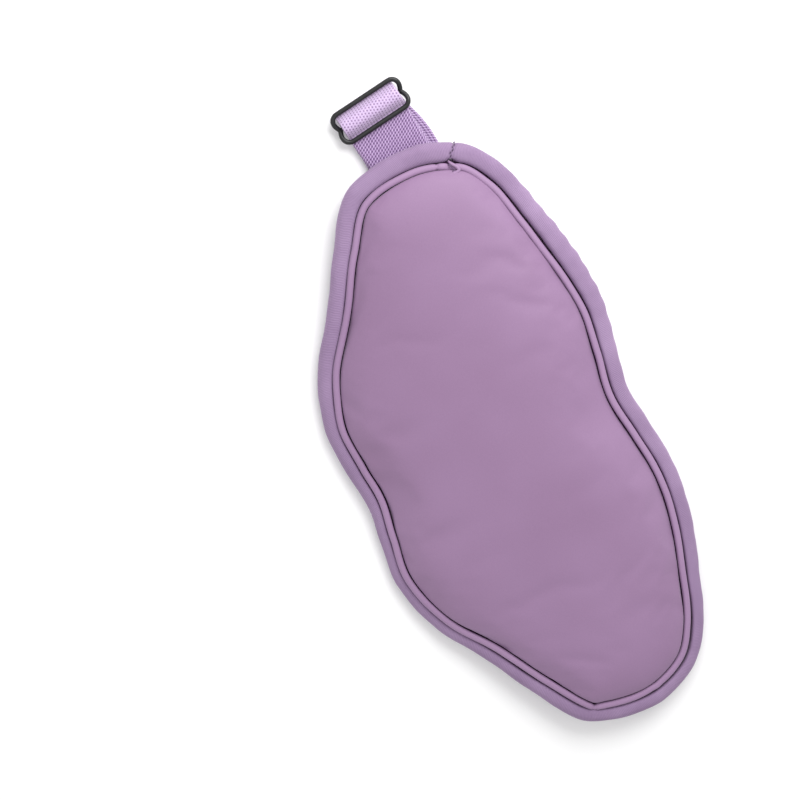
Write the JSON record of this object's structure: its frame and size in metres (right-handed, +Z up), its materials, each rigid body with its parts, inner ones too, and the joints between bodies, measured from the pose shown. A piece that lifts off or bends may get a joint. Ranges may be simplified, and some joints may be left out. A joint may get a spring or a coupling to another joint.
{
  "type": "eye pillow",
  "caption": "Padded eye mask with a rolled, piped edge and an elastic strap with a three-bar slider, lying face up.",
  "frame": {"origin": "on the table under the middle of the mask, on the strap's flat underside", "axes": "+X along the mask, away from the slider; +Y to its forehead side; +Z up, out of its front"},
  "size_m": [0.2242, 0.0998, 0.0157],
  "materials": {
    "lilac_cloth": "smooth stretch satin",
    "lilac_knit_tape": "finely ribbed knit",
    "lilac_elastic": "woven elastic",
    "lilac_thread": "spun thread",
    "white_fill": "soft filling",
    "black_lining": "matt knit",
    "black_coated_metal": "satin"
  },
  "bodies": {
    "mask": {"front_cover": "lilac_cloth", "wadding": "white_fill", "foam_core": "white_fill", "blackout_lining": "black_lining", "back_cover": "lilac_cloth", "edge_binding": "lilac_knit_tape", "binding_cord": "white_fill", "piping_sleeve": "lilac_knit_tape", "piping_cord": "white_fill", "binding_thread_front": "lilac_thread", "binding_thread_back": "lilac_thread", "piping_thread": "lilac_thread", "binding_join_thread": "lilac_thread", "strap_anchored_run": "lilac_elastic", "strap_long_run": "lilac_elastic", "keeper_band": "lilac_elastic", "strap_anchor_thread": "lilac_thread"},
    "slider": {"slider_frame": "black_coated_metal", "strap_slider_turn": "lilac_elastic", "strap_sewn_end": "lilac_elastic"}
  },
  "joints": [
    {"name": "slider_slide", "type": "slide", "parent": "mask", "child": "slider", "axis": [-0.9877, -0.1564, 0], "range_m": [-0.004, 0.025], "deforming": ["strap_anchored_run", "strap_long_run"]}
  ]
}
